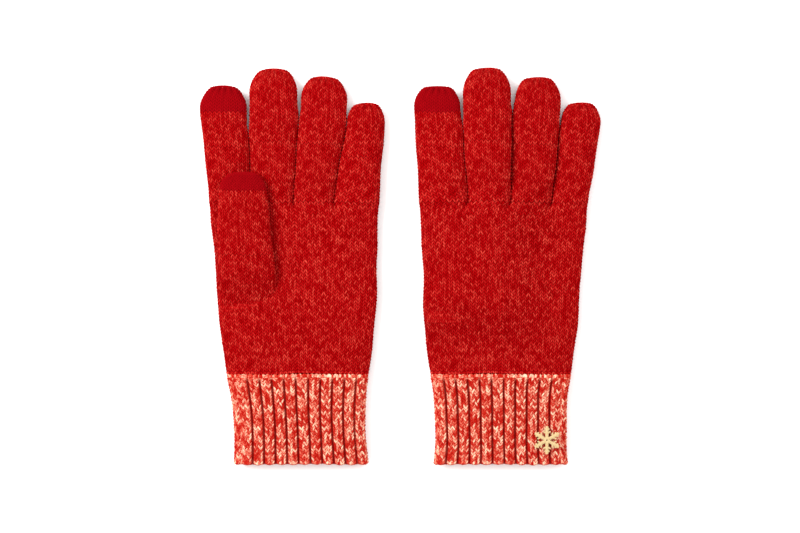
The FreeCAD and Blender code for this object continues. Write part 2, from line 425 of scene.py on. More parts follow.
def makeHand(glove, material):
    side = glove["side"]
    wales = hand["walesPerFinger"] * 8
    columns = wales * knit["columns"]
    courses = round(glove["length"] / knit["course"])
    wale, course = stitchGrid(columns, courses * knit["rows"])
    pitch = glove["length"] / courses
    along = (course + climb(wale) * knit["lean"] * np.clip(course / hand["leanStart"], 0, 1)) * pitch
    along[-1] = glove["length"]
    share = wale / wales
    points = handForm(glove, share, along)
    direction = normals(points)
    height = legs(wale, course, knit)
    points[-1, :, 1] += climb(wale[-1]) * knit["lean"] * pitch
    inside = np.clip(np.minimum(course, courses - course) / hand["evenCourses"], 0, 1)
    height = height * (1 + knit["uneven"] * jitter(wale, course, 3) * inside)
    ring = points[-1]
    tangent = np.roll(ring[:-1], -1, axis=0) - np.roll(ring[:-1], 1, axis=0)
    endNormal = np.cross(np.concatenate([tangent, tangent[:1]]), (0, 1, 0))
    direction[-1] = endNormal / (np.linalg.norm(endNormal, axis=-1, keepdims=True) + 1e-9)
    lobeHeight = np.abs(lobes(glove, columns)[1]) / hand["cleftThick"]
    keep = np.ones_like(height)
    keep[-1] = np.clip(lobeHeight, 0, 1)
    keep[-2] = np.clip(lobeHeight + 0.3, 0, 1)
    stand = (height * knit["relief"] - knit["relief"] + knit["proud"]) * keep
    points = wander(points + direction * stand[..., None], glove)
    # the hollow runs down from its end to the wrist, in five mesh rows
    cavity = []
    for part in (1.0, 0.75, 0.5, 0.25, 0.0):
        level = np.full((1, columns + 1), hand["cavityEnd"] * part)
        cavity.append(wander(handForm(glove, share[:1], level, knit["wall"]), glove)[0])
    closing = closingLine(cavity[0])
    closing[:, 1] += hand["cavityRound"]
    level = np.full((1, columns + 1), -hand["rimDip"])
    rim = wander(handForm(glove, share[:1], level, knit["wall"] / 2), glove)[0]
    # each finger's opening is filled by a fan behind the finger's first course
    cap = points[-1].copy()
    each = columns // 8
    for place in range(4):
        low, high = place * each, (place + 1) * each
        top = slice(low + 1, high)
        under = slice(columns - high + 1, columns - low)
        cap[top] = cap[under] = (points[-1, top].mean(axis=0) + points[-1, under].mean(axis=0)) / 2
    allPoints = np.concatenate([closing[None], np.array(cavity), rim[None], points, cap[None]])
    extra = len(allPoints) - len(points) - 1
    before = -np.arange(extra, 0, -1)[:, None] * hand["hiddenStep"] + np.zeros((1, columns + 1))
    courseAll = np.concatenate([before, course, course[-1:] + 1])
    waleAll = np.concatenate([np.repeat(wale[:1], extra, axis=0), wale, wale[-1:]])
    heightAll = np.concatenate([np.full((extra, columns + 1), hand["hiddenShade"]), height, height[-1:]])
    piece = swatch(f"{side}HandKnit", allPoints, waleAll, courseAll, heightAll)
    finish(piece, material, [f"{side}_hand"])
    blendWrist(piece, glove)
    return points[-1]


fingers = {
    "gussets": {"index": (0, 5), "middle": (3, 3), "ring": (3, 3), "little": (2, 0)},  # wales in each cleft
    "gussetReach": 16.0,  # the gusset wales open over this length
    "roundness": 2.35,
    "domeReach": {"index": 15.0, "middle": 15.5, "ring": 15.0, "little": 13.0},
    "flat": 0.26,  # share of the width that the gathered tip keeps to its very end
    "stations": 12,  # places where the CAD outline is read
    "firstStation": 0.4,
    "wider": 0.2,  # the knitting lies this much wider on each side
    "gather": 0.8,  # depth of the folds where the tip is drawn together
    "gatherAt": 3.5,  # the folds are deepest so many courses from the end
    "gatherReach": 2.2,
    # neighbours touch up to so far below the shorter one's tip, and part over a little length
    "partsBelow": {"left": (27.5, 21.5, 8), "right": (21, 19.5, 12.6)},
    "partsEarly": 3.0,
    "partsOver": 5.0,
    "hairGap": 0.05,  # touching neighbours each stop this short of the line between them
    "tipProud": 0.8,  # the tips' stitches stand past the CAD's end
    "tipShift": {"left": (-1.0, -0.4, 0.9, 0.4), "right": (-0.3, 0.1, 2.0, 1.5)},  # sideways at the tips
    "rootShift": {"left": (0, -0.7, -2.0), "right": (0, 0, 0)},  # sideways where neighbours part
    "levelReach": 18.0,  # a finger's tilt over the thumb evens out over this length
    "evenCourses": 2.0,  # the first courses that are all the same height
    "bendReach": 5.5,  # a fold bends over this much each side
}


def readFinger(glove, name):
    side = glove["side"]
    parts = [f"{side}_{name}_{part}" for part in ("base", "middle", "end")]
    if name == "index":
        parts.append(f"{side}_index_touch_tip")
    top = boxOf(parts[-1])[1][1]
    length = top - glove["fork"] + fingers["tipProud"]
    dome = fingers["domeReach"][name]
    stations = np.linspace(fingers["firstStation"], length - dome, fingers["stations"])
    left, right, low, high = outline(parts, glove["fork"] + stations)
    finger = {"length": length, "dome": dome, "stations": stations}
    shift = fingers["tipShift"][side][fingerNames.index(name)]
    finger["centre"] = (left + right) / 2 + shift * ease(0.2 + stations / length)
    finger["half"] = (right - left) / 2 + fingers["wider"]
    finger["height"] = (low + high) / 2
    folds = [jointPlace[f"{side}_{name}_{which}_joint"][1] / millimetre for which in ("middle", "end")]
    finger["folds"] = [fold - glove["fork"] for fold in folds]
    if name == "index":
        finger["cap"] = boxOf(f"{side}_index_touch_tip")[0][1] - glove["fork"] + tips["capUp"]
    return finger


def layTogether(glove):
    # neighbouring fingers lie against each other up to a little below the shorter one's tip
    edges = {name: (finger["centre"] - finger["half"], finger["centre"] + finger["half"])
             for name, finger in glove["fingers"].items()}
    moved = {name: [edge.copy() for edge in pair] for name, pair in edges.items()}
    pairs = zip(fingerNames, fingerNames[1:])
    clefts = zip(pairs, fingers["partsBelow"][glove["side"]], fingers["rootShift"][glove["side"]])
    for pair, below, rootShift in clefts:
        one, two = (glove["fingers"][name] for name in pair)
        parts = min(one["length"], two["length"]) - below
        for name, side, sign in ((pair[0], 1, 1), (pair[1], 0, -1)):
            y = glove["fingers"][name]["stations"]
            gap = (np.interp(y, two["stations"], edges[pair[1]][0])
                   - np.interp(y, one["stations"], edges[pair[0]][1]))
            near = 1 - ease((y - parts + fingers["partsEarly"]) / fingers["partsOver"])
            moved[name][side] = moved[name][side] + sign * (gap / 2 - fingers["hairGap"]) * near
            moved[name][side] = moved[name][side] + rootShift * (1 - ease(y / parts))
    for name, (left, right) in moved.items():
        glove["fingers"][name]["centre"] = (left + right) / 2
        glove["fingers"][name]["half"] = (right - left) / 2


def fingerForm(glove, finger, share, along):
    reach = (finger["length"], finger["dome"], finger["half"][-1], fingers["flat"])
    y, width, depth = domed(along, *reach)
    rowY, rowWidth, rowDepth = domed(along.mean(axis=1), *reach)
    thick = glove["thick"] / 2
    rowHalf = np.interp(rowY, finger["stations"], finger["half"]) * rowWidth
    x, z = around(share, rowHalf, thick * rowDepth, fingers["roundness"])
    centre = np.interp(y, finger["stations"], finger["centre"])
    x = centre + x * np.interp(y, finger["stations"], finger["half"]) * width
    tilt = 1 - ease(y / fingers["levelReach"])
    fork = np.full_like(x, glove["fork"])
    root = liftOf(glove, x, fork) - liftOf(glove, np.full_like(x, finger["centre"][0]), fork)
    z = z * thick * depth + np.interp(y, finger["stations"], finger["height"]) + root * tilt
    return np.stack([x, glove["fork"] + y, z], axis=-1)


def makeFinger(glove, name, handRing, bodyKnit, touchKnit):
    side = glove["side"]
    finger = glove["fingers"][name]
    leftGusset, rightGusset = fingers["gussets"][name]
    face = hand["walesPerFinger"] * knit["columns"]
    leftHalf = leftGusset * knit["columns"] // 2
    right = rightGusset * knit["columns"]
    columns = 2 * face + 2 * leftHalf + right
    index = np.arange(columns + 1)
    rootShare = np.zeros(columns + 1)
    rootShare[leftHalf:leftHalf + face + 1] = np.linspace(0, 0.5, face + 1)
    rootShare[leftHalf + face:leftHalf + face + right + 1] = 0.5
    under = leftHalf + face + right
    rootShare[under:under + face + 1] = np.linspace(0.5, 1, face + 1)
    rootShare[under + face:] = 1.0
    total = knitLength(finger["length"], finger["dome"], finger["half"][-1])
    courses = round(total / knit["course"])
    pitch = total / courses
    rows = courses * knit["rows"]
    wale, course = stitchGrid(columns, rows, leftHalf)
    fromEnd = courses - course
    along = (course + climb(wale) * knit["lean"] * np.clip(fromEnd / tips["leanFade"], 0, 1)) * pitch
    along[0] = 0
    share = rootShare + (index / columns - rootShare) * ease(along / fingers["gussetReach"])
    if name == "index":
        along = bowed(along, share, finger["cap"])
    grid = fingerForm(glove, finger, share, along)
    direction, size = drawTogether(grid)
    height = legs(wale, course, knit)
    inside = np.clip(np.minimum(course / fingers["evenCourses"], fromEnd / tips["evenCourses"]), 0, 1)
    height = height * (1 + knit["uneven"] * jitter(wale, course, 11 + fingerNames.index(name)) * inside)
    folds = np.cos(2 * np.pi * round(columns / knit["columns"] / 2) * index / columns)
    nearGather = np.exp(-((fromEnd - fingers["gatherAt"]) / fingers["gatherReach"]) ** 2)
    gathered = fingers["gather"] * folds * nearGather
    stand = (height * knit["relief"] - knit["relief"] + gathered) * size ** 2 + knit["proud"]
    out = wander(grid + direction * stand[..., None], glove)
    # the first row is the hand's own last row, with the gusset wales waiting in the clefts
    place = fingerNames.index(name)
    handColumns = len(handRing) - 1
    top = handRing[place * face:(place + 1) * face + 1]
    below = handRing[handColumns - (place + 1) * face:handColumns - place * face + 1]
    out[0, leftHalf:leftHalf + face + 1] = top
    out[0, under:under + face + 1] = below
    out[0, leftHalf + face:under + 1] = top[-1]
    out[0, :leftHalf + 1] = top[0]
    out[0, under + face:] = top[0]
    label = f"{side}{name.capitalize()}"
    middle, end = f"{side}_{name}_middle", f"{side}_{name}_end"
    halfWay = (finger["folds"][0] + finger["folds"][1]) / 2
    split = int(round(halfWay / pitch)) * knit["rows"]
    lower = cutPiece(f"{label}LowerKnit", out, wale, course, height, 0, split)
    finish(lower, bodyKnit, [f"{side}_{name}_base", middle])
    blendFold(lower, f"{side}_{name}_middle_joint", f"{side}_hand", middle, fingers["bendReach"])
    capRow = rows
    if name == "index":
        capRow = int(round(capAlong(finger, finger["dome"], total) / pitch)) * knit["rows"]
    upper = cutPiece(f"{label}UpperKnit", out, wale, course, height, split, capRow)
    finish(upper, bodyKnit, [end])
    blendFold(upper, f"{side}_{name}_end_joint", middle, end, fingers["bendReach"])
    if name == "index":
        tip = cutPiece(f"{label}TouchTip", out, wale, course, height, capRow, rows)
        finish(tip, touchKnit, [f"{side}_index_touch_tip"])
        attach(tip, end)


thumb = {
    "wales": 28,
    "buried": 22.0,  # length that flows into the palm
    "emerge": 20.0,  # the thumb is clear of the palm from here
    "rootDrop": 0.5,  # its root lies this far off the middle of the palm's thickness
    "roundness": 2.5,
    "domeReach": 13.0,
    "flat": 0.42,
    "stations": 8,
    "firstStation": 6.5,
    "rootBend": (-6.0, 4.0),  # it bends from and to here when it is raised
    "bendReach": 5.5,
    "split": 22.0,  # the lower piece ends here
}


def readThumb(glove):
    side = glove["side"]
    parts = [f"{side}_thumb_{part}" for part in ("base", "end", "touch_tip")]
    low, high = boxOf(parts[0])
    top = boxOf(parts[2])[1][1]
    part = {"root": low[1], "length": top - low[1]}
    part["cap"] = boxOf(parts[2])[0][1] - low[1] + tips["capUp"]
    stations = np.linspace(thumb["firstStation"], part["length"] - thumb["domeReach"], thumb["stations"])
    left, right = outline(parts, low[1] + stations)[:2]
    part["stations"] = stations
    part["centre"] = (left + right) / 2
    part["half"] = (right - left) / 2
    part["thick"] = high[2] - low[2]
    part["height"] = (low[2] + high[2]) / 2
    part["up"] = 1 if side == "left" else -1
    return part


def thumbForm(glove, share, along):
    part = glove["thumb"]
    reach = (part["length"], thumb["domeReach"], part["half"][-1], thumb["flat"])
    y, width, depth = domed(along, *reach)
    rowY, rowWidth, rowDepth = domed(along.mean(axis=1), *reach)
    thick = part["thick"] / 2
    rowHalf = np.interp(rowY, part["stations"], part["half"]) * rowWidth
    x, z = around(share, rowHalf, thick * rowDepth, thumb["roundness"])
    centre = np.interp(y, part["stations"], part["centre"])
    x = centre + x * np.interp(y, part["stations"], part["half"]) * width
    sunk = 1 - ease((y + thumb["buried"]) / (thumb["buried"] + thumb["emerge"]))
    palm = glove["table"] + glove["thick"] / 2 + liftOf(glove, x, part["root"] + y)
    middle = palm - thumb["rootDrop"] * part["up"]
    z = z * thick * depth + part["height"] + (middle - part["height"]) * sunk
    return np.stack([x, part["root"] + y, z], axis=-1)


def makeThumb(glove, bodyKnit, touchKnit):
    side = glove["side"]
    part = glove["thumb"]
    wales = thumb["wales"]
    free = knitLength(part["length"], thumb["domeReach"], part["half"][-1])
    total = free + thumb["buried"]
    courses = round(total / knit["course"])
    pitch = total / courses
    rows = courses * knit["rows"]
    wale, course = stitchGrid(wales * knit["columns"], rows)
    fromEnd = courses - course
    along = (course + climb(wale) * knit["lean"] * np.clip(fromEnd / tips["leanFade"], 0, 1)) * pitch
    along = bowed(along - thumb["buried"], wale / wales, part["cap"])
    grid = thumbForm(glove, wale / wales, along)
    direction, size = drawTogether(grid)
    inside = np.clip(fromEnd / tips["evenCourses"], 0, 1)
    height = legs(wale, course, knit) * (1 + knit["uneven"] * jitter(wale, course, 29) * inside)
    stand = (height * knit["relief"] - knit["relief"]) * size + knit["proud"]
    out = wander(grid + direction * stand[..., None], glove)
    split = int(round((thumb["split"] + thumb["buried"]) / pitch)) * knit["rows"]
    capLength = capAlong(part, thumb["domeReach"], free) + thumb["buried"]
    capRow = int(round(capLength / pitch)) * knit["rows"]
    root, lifted, folded = f"{side}_hand", f"{side}_thumb_base", f"{side}_thumb_end"
    lower = cutPiece(f"{side}ThumbLowerKnit", out, wale, course, height, 0, split)
    finish(lower, bodyKnit, [lifted])
    fold = jointPlace[f"{side}_thumb_lift"]
    near, far = (fold[1] + reach * millimetre for reach in thumb["rootBend"])
    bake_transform(lower, root, lifted, start=(fold[0], near, fold[2]), end=(fold[0], far, fold[2]))
    upper = cutPiece(f"{side}ThumbUpperKnit", out, wale, course, height, split, capRow)
    finish(upper, bodyKnit, [folded])
    blendFold(upper, f"{side}_thumb_fold", lifted, folded, thumb["bendReach"])
    tip = cutPiece(f"{side}ThumbTouchTip", out, wale, course, height, capRow, rows)
    finish(tip, touchKnit, [f"{side}_thumb_touch_tip"])
    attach(tip, folded)


cuff = {
    "ribs": 24,
    "waleColumns": 8,  # mesh columns in each of a rib's two knit wales
    "purlColumns": 4,  # and in the narrow purl wale between ribs
    "purlWidth": 1.2,
    "pitch": 7.1,  # rib to rib
    "start": {"left": 1, "right": 13},  # columns of a rib already passed at the glove's side
    "courses": 28,
    "rows": 4,
    "stations": 12,
    "roundness": 2.7,
    "relief": 0.8,
    "centreGroove": 0.35,
    "groove": 1.6,  # depth of the purl wale
    "ribCrown": 0.4,
    "scallop": 0.55,  # the mouth's edge dips at each rib
    "plainTop": 2.2,  # courses at the top before the ribs part
    "open": (5.0, 9.0),  # purl wales this near the sides are stretched open, and their painted shade fades
    "spread": {"left": (-1.2, 2.1), "right": (-0.6, 2.3)},  # the ribs spread past the CAD outline
    "spreadFrom": 0.375,  # share of the height where that starts to fade to the hand's own
    "lean": 0.95,
    "wall": 2.5,
    "lining": 11,  # mesh rows inside
    "liningWave": 0.6,  # share of the ribs that shows inside
    "rimDip": 0.5,
    "hiddenStep": 2.0,
    "grooveTone": 0.1,  # painted shade between the stitches of a rib, 0 is the full groove colour
    "grooveSide": 0.22,  # share of a wale beside a purl one that gets painted shade
    "proud": 0.3,
    "wander": 0.5,  # the elastic ribs stray less than plain knitting
    "bendReach": 8.0,
}


def cuffForm(glove, share, along):
    # along runs up from the mouth
    nominal = along.mean(axis=1)
    left, right = (np.interp(along, glove["cuffStations"], edge) for edge in glove["cuffEdges"])
    rowLeft, rowRight = (np.interp(nominal, glove["cuffStations"], edge) for edge in glove["cuffEdges"])
    thick = glove["cuffThick"] / 2
    x, z = around(share, (rowRight - rowLeft) / 2, np.full(len(share), thick), cuff["roundness"])
    x = (left + right) / 2 + x * (right - left) / 2
    z = z * thick + glove["table"] + glove["cuffThick"] / 2
    return np.stack([x, glove["mouth"] + along, z], axis=-1)


def makeCuff(glove, ribKnit, linkKnit):
    side = glove["side"]
    low, high = boxOf(f"{side}_cuff")
    glove["mouth"] = low[1]
    glove["cuffThick"] = high[2] - low[2]
    height = high[1] - low[1]
    stations = np.linspace(edgeMargin, height - edgeMargin, cuff["stations"])
    glove["cuffStations"] = stations
    sides = outline([f"{side}_cuff"], low[1] + stations)[:2]
    atTop = [spread[0][1] for spread in hand["spread"][side]]
    full = 1 - ease((stations / height - cuff["spreadFrom"]) / (1 - cuff["spreadFrom"]))
    glove["cuffEdges"] = [edge + top + (mouth - top) * full
                          for edge, mouth, top in zip(sides, cuff["spread"][side], atTop)]
    perRib = 2 * cuff["waleColumns"] + cuff["purlColumns"]
    columns = cuff["ribs"] * perRib
    rows = cuff["courses"] * cuff["rows"]
    pitch = height / cuff["courses"]
    knitWidth = (cuff["pitch"] - cuff["purlWidth"]) / 2
    inRib = np.concatenate([np.linspace(0, 2, 2 * cuff["waleColumns"], endpoint=False),
                            np.linspace(2, 3, cuff["purlColumns"], endpoint=False)])
    widths = np.interp(inRib, (0, 2, 3), (0, 2 * knitWidth, cuff["pitch"])) / cuff["pitch"]
    start = cuff["start"][side]
    ribs = np.arange(columns + 1 + start) // perRib
    within = np.arange(columns + 1 + start) % perRib
    wale = (ribs * 3 + inRib[within])[start:][None, :] + np.zeros((rows + 1, 1))
    turn = (ribs + widths[within])[start:][None, :]
    share = (turn - turn[0, 0]) / cuff["ribs"] + np.zeros((rows + 1, 1))
    course = np.arange(rows + 1)[:, None] / cuff["rows"] + np.zeros((1, columns + 1))
    purl = (np.floor(wale) % 3) == 2
    slope = np.where(purl, 0.5, climb(wale))
    ends = np.clip(np.minimum(course, cuff["courses"] - course), 0, 1)
    along = (course + slope * cuff["lean"] * ends) * pitch
    ribMiddle = np.cos(2 * np.pi * (turn - knitWidth / cuff["pitch"])) + np.zeros_like(along)
    along = along - cuff["scallop"] * ribMiddle * np.clip(1 - course / 2, 0, 1)
    points = cuffForm(glove, share, along)
    stitch = legs(wale, course, dict(knit, centreGroove=cuff["centreGroove"], rowGroove=0.0))
    girth = cuff["ribs"] * cuff["pitch"]
    fromSide = np.minimum(np.minimum(share, 1 - share), np.abs(share - 0.5)) * girth
    near, far = cuff["open"]
    parted = ease((cuff["courses"] - course) / cuff["plainTop"]) * ease((fromSide - near) / (far - near))
    trough = np.where(purl, np.sin(np.pi * (wale % 1)) ** knit["legRound"], 0)
    uneven = 1 + knit["uneven"] * jitter(wale, course, 41) * ends
    relief = np.where(purl, 0, stitch * cuff["relief"] * uneven)
    wave = cuff["ribCrown"] * (ribMiddle - 1) / 2 * parted - trough * cuff["groove"] * parted
    stand = relief + wave - cuff["relief"] + cuff["proud"]
    outer = wander(points + normals(points) * stand[..., None], glove, cuff["wander"])
    levels = np.linspace(0, height, cuff["lining"])[:, None] + np.zeros((1, columns + 1))
    lining = cuffForm(glove, np.repeat(share[:1], cuff["lining"], axis=0), levels)
    lining = lining + normals(lining) * (wave[:1] * cuff["liningWave"] - cuff["wall"])[..., None]
    inner = wander(lining, glove, cuff["wander"])[::-1]
    rim = (inner[-1] + outer[0]) / 2
    rim[:, 1] -= cuff["rimDip"]
    closing = (inner[0] + outer[-1]) / 2
    allPoints = np.concatenate([closing[None], inner, rim[None], outer, closing[None]])
    extra = len(allPoints) - len(outer) - 1
    before = -np.arange(extra, 0, -1)[:, None] * cuff["hiddenStep"] + np.zeros((1, columns + 1))
    # painted shade: purl wales and the edges of the knit wales beside them take the groove colour, less where
    # the ribs are stretched open, and the relief paints lighter shade between a rib's stitches
    fromPurl = np.minimum(wale % 3, 2 - wale % 3)
    shaded = np.where(purl, 1, 1 - ease(fromPurl / cuff["grooveSide"])) * parted
    lit = cuff["grooveTone"] + (1 - cuff["grooveTone"]) * np.where(purl, 1, stitch)
    tone = lit * (1 - shaded)
    courseAll = np.concatenate([before, course, course[-1:] + 1])
    waleAll = np.concatenate([np.repeat(wale[:1], extra, axis=0), wale, wale[-1:]])
    paintedLightAll = np.concatenate([np.repeat(tone[2:3], extra, axis=0), tone, tone[-1:]])
    piece = swatch(f"{side}CuffRib", allPoints, waleAll, courseAll, paintedLightAll)
    finish(piece, ribKnit, [f"{side}_cuff"])
    blendWrist(piece, glove)
    makeLinkRow(glove, linkKnit, share[:1], wale[:1], height)


linkRow = {
    "steps": 10,  # mesh rows round the yarn
    "deeper": 0.4,  # it covers this much more than the CAD's
    "sink": 0.2,  # and starts this far down the cuff
    "loop": 0.7,  # each loop climbs this far into the hand
    "inset": 0.3,  # the yarn's middle lies this far under the surface
    "bulge": 0.4,  # it stands out by this much at each loop
    "inner": 1.2,  # and reaches this far into the wall
    "flatness": 0.12,  # how little it is pushed sideways
}


def outwards(ring):
    # directions away from the middle of a ring laid flat
    away = ring - ring[:, :-1].mean(axis=1, keepdims=True)
    away[..., 0] *= linkRow["flatness"]
    away[..., 1] = 0
    return away / (np.linalg.norm(away, axis=-1, keepdims=True) + 1e-9)


def makeLinkRow(glove, material, share, wale, height):
    # one row of loops that joins the cuff to the hand
    side = glove["side"]
    low, high = boxOf(f"{side}_cuff_link_row")
    depth = high[1] - low[1] + linkRow["deeper"]
    rings, loopShade, courses = [], [], []
    steps = linkRow["steps"]
    loop = np.abs(np.sin(np.pi * wale))
    for step in range(steps + 1):
        turn = 2 * math.pi * step / steps
        bulge = math.sin(turn)
        rise = (1 - math.cos(turn)) / 2
        climbs = linkRow["loop"] * loop - linkRow["sink"]
        level = height - linkRow["sink"] + (depth + climbs) * rise
        out = linkRow["bulge"] * (0.5 + 0.5 * loop) if bulge > 0 else linkRow["inner"] * np.ones_like(loop)
        base = cuffForm(glove, share, level * np.ones_like(share))
        ring = base - outwards(base) * (linkRow["inset"] - bulge * out)[..., None]
        rings.append(wander(ring, glove, cuff["wander"])[0])
        # painted shade: the yarn keeps its full colour only where a loop bulges out, and is darker on its inner
        # side and between loops
        loopShade.append(np.clip(0.3 + 0.7 * max(bulge, 0) * loop[0], 0, 1))
        courses.append(np.full(share.shape[1], cuff["courses"] + 1.5 * step / steps))
    waleAll = np.repeat(wale, steps + 1, axis=0)
    piece = swatch(f"{side}LinkRow", np.array(rings), waleAll, np.array(courses), np.array(loopShade))
    finish(piece, material, [f"{side}_cuff_link_row"])
    blendWrist(piece, glove)


star = {
    "arms": 6,
    "inner": 0.7,  # first stitch from the star's middle
    "outer": 0.2,  # the last one stops this short of the CAD's edge
    "step": 0.46,  # stitch to stitch
    "half": 1.25,  # half the length of a stitch across an arm
    "endShare": 0.72,  # an arm narrows to this share of it
    "narrows": 1.2,  # over its last part
    "slant": 0.12,  # stitches lie a little off square, in radians
    "uneven": 0.04,
    "thread": 0.3,
    "rise": 1.5,  # a laid thread is humped to this many times its thickness
    "sunk": 0.15,  # its middle lies this far under the CAD's top
    "barbs": ((3.9, 1.0), (6.2, 0.75)),  # side branches leave an arm here, with this share of the length
    "barbLength": 2.6,
    "barbInner": 1.2,
    "barbHalf": 0.62,
    "barbUneven": 0.03,
    "barbSunk": 0.1,
    "barbAngle": math.radians(55),
}


def satinStitch(place, turn, half):
    # one thread laid across an arm, a little humped
    bpy.ops.mesh.primitive_uv_sphere_add(segments=10, ring_count=7, radius=1)
    thread = bpy.context.object
    size = Vector((half, star["thread"], star["thread"] * star["rise"])) * millimetre
    bpy.ops.object.mode_set(mode="EDIT")
    bpy.ops.mesh.select_all(action="SELECT")
    bpy.ops.transform.resize(value=size)
    bpy.ops.object.mode_set(mode="OBJECT")
    thread.rotation_euler = (0, 0, turn)
    thread.location = Vector(place) * millimetre
    bpy.ops.object.transform_apply(location=True, rotation=True, scale=False)
    bpy.ops.object.shade_smooth()
    return thread


def makeStar(material):
    low, high = boxOf("right_cuff_motif")
    middle = (low + high) / 2
    reach = (high[1] - low[1]) / 2
    top = high[2] - star["sunk"]
    dice = np.random.default_rng(7)
    threads = []
    for arm in range(star["arms"]):
        angle = math.pi / 2 + arm * 2 * math.pi / star["arms"]
        along = np.array((math.cos(angle), math.sin(angle), 0))
        for out in np.arange(star["inner"], reach - star["outer"], star["step"]):
            narrow = (1 - star["endShare"]) * min(1, (reach - out) / star["narrows"])
            half = star["half"] * (star["endShare"] + narrow) + dice.normal(0, star["uneven"])
            x, y, _ = middle + along * out
            threads.append(satinStitch((x, y, top), angle + math.pi / 2 + star["slant"], half))
        for start, share in star["barbs"]:
            for lean in (-1, 1):
                barbAngle = angle + lean * star["barbAngle"]
                barb = np.array((math.cos(barbAngle), math.sin(barbAngle), 0))
                for out in np.arange(star["barbInner"], star["barbLength"] * share, star["step"]):
                    x, y, _ = middle + along * start + barb * out
                    half = star["barbHalf"] + dice.normal(0, star["barbUneven"])
                    threads.append(satinStitch((x, y, top - star["barbSunk"]), barbAngle + math.pi / 2, half))
    bpy.ops.object.select_all(action="DESELECT")
    for thread in threads:
        thread.select_set(True)
    bpy.context.view_layer.objects.active = threads[0]
    bpy.ops.object.join()
    piece = bpy.context.object
    piece.name = piece.data.name = "rightCuffStarEmbroidery"
    piece.select_set(False)
    finish(piece, material, ["right_cuff_motif"])
    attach(piece, "right_cuff")


def srgb(code):
    parts = [int(code[place:place + 2], 16) / 255 for place in (1, 3, 5)]
    linear = (part / 12.92 if part <= 0.04045 else ((part + 0.055) / 1.055) ** 2.4 for part in parts)
    return (*linear, 1)


def addNode(tree, kind, inputs=(), **settings):
    node = tree.nodes.new(kind)
    for name, value in settings.items():
        setattr(node, name, value)
    for socket, value in dict(inputs).items():
        if isinstance(value, bpy.types.NodeSocket):
            tree.links.new(value, node.inputs[socket])
        else:
            node.inputs[socket].default_value = value
    return node


def setRamp(node, stops):
    ramp = node.color_ramp
    while len(ramp.elements) > 1:
        ramp.elements.remove(ramp.elements[-1])
    ramp.elements[0].position, ramp.elements[0].color = stops[0][0], srgb(stops[0][1])
    for position, code in stops[1:]:
        ramp.elements.new(position).color = srgb(code)
    return node.outputs["Color"]


def emptyMaterial(name):
    material = bpy.data.materials.new(name)
    material.use_nodes = True
    material.node_tree.nodes.clear()
    return material, material.node_tree


# strands and patches: grain in cells per wale and per course, then its share of the tone
lambswoolLook = {
    "strands": ((2.8, 2.6, 1.0), 0.5), "patches": ((0.25, 0.4, 1.0), 0.12), "legShare": 0.3,
    "fibre": 0.6, "fibreShare": 0.25,  # stray fibres, drawn coarse enough to show, in mm
    "stops": [(0.38, "#830002"), (0.48, "#960205"), (0.58, "#A30B0E"),
              (0.70, "#B6211D"), (0.86, "#D3493A")],
    "groove": "#650001", "grooveTop": 0.8, "grooveLight": 0.0,  # painted groove shade: the groove colour is mixed in where the point's light share is under grooveTop, keeping grooveLight of the yarn colour
    "bump": 0.5, "bumpHeight": 0.25, "roughness": 0.95,
    "specular": 0.01, "sheen": 0.01, "sheenTint": "#E83A30",
}
ribLook = dict(
    lambswoolLook, strands=((3.2, 2.8, 1.0), 0.6), patches=((0.5, 0.4, 1.0), 0.36), legShare=0.36,
    fibreShare=0.15,
    stops=[(0.54, "#A2120B"), (0.66, "#B4291D"), (0.76, "#C3503D"), (0.87, "#E09178"), (0.99, "#E9C7A7")],
    # the rib's groove colour is the red purl yarn darkened by painted shade
    groove="#920A08", grooveTop=0.55, grooveLight=0.1, sheenTint="#F0A090")
touchLook = dict(
    # the touch tips' groove colour is painted shade too
    lambswoolLook, legShare=0.15, fibreShare=0.3, grooveLight=0.3, groove="#630103",
    stops=[(0.20, "#7A0209"), (0.60, "#8F050C"), (0.90, "#A00C16")])


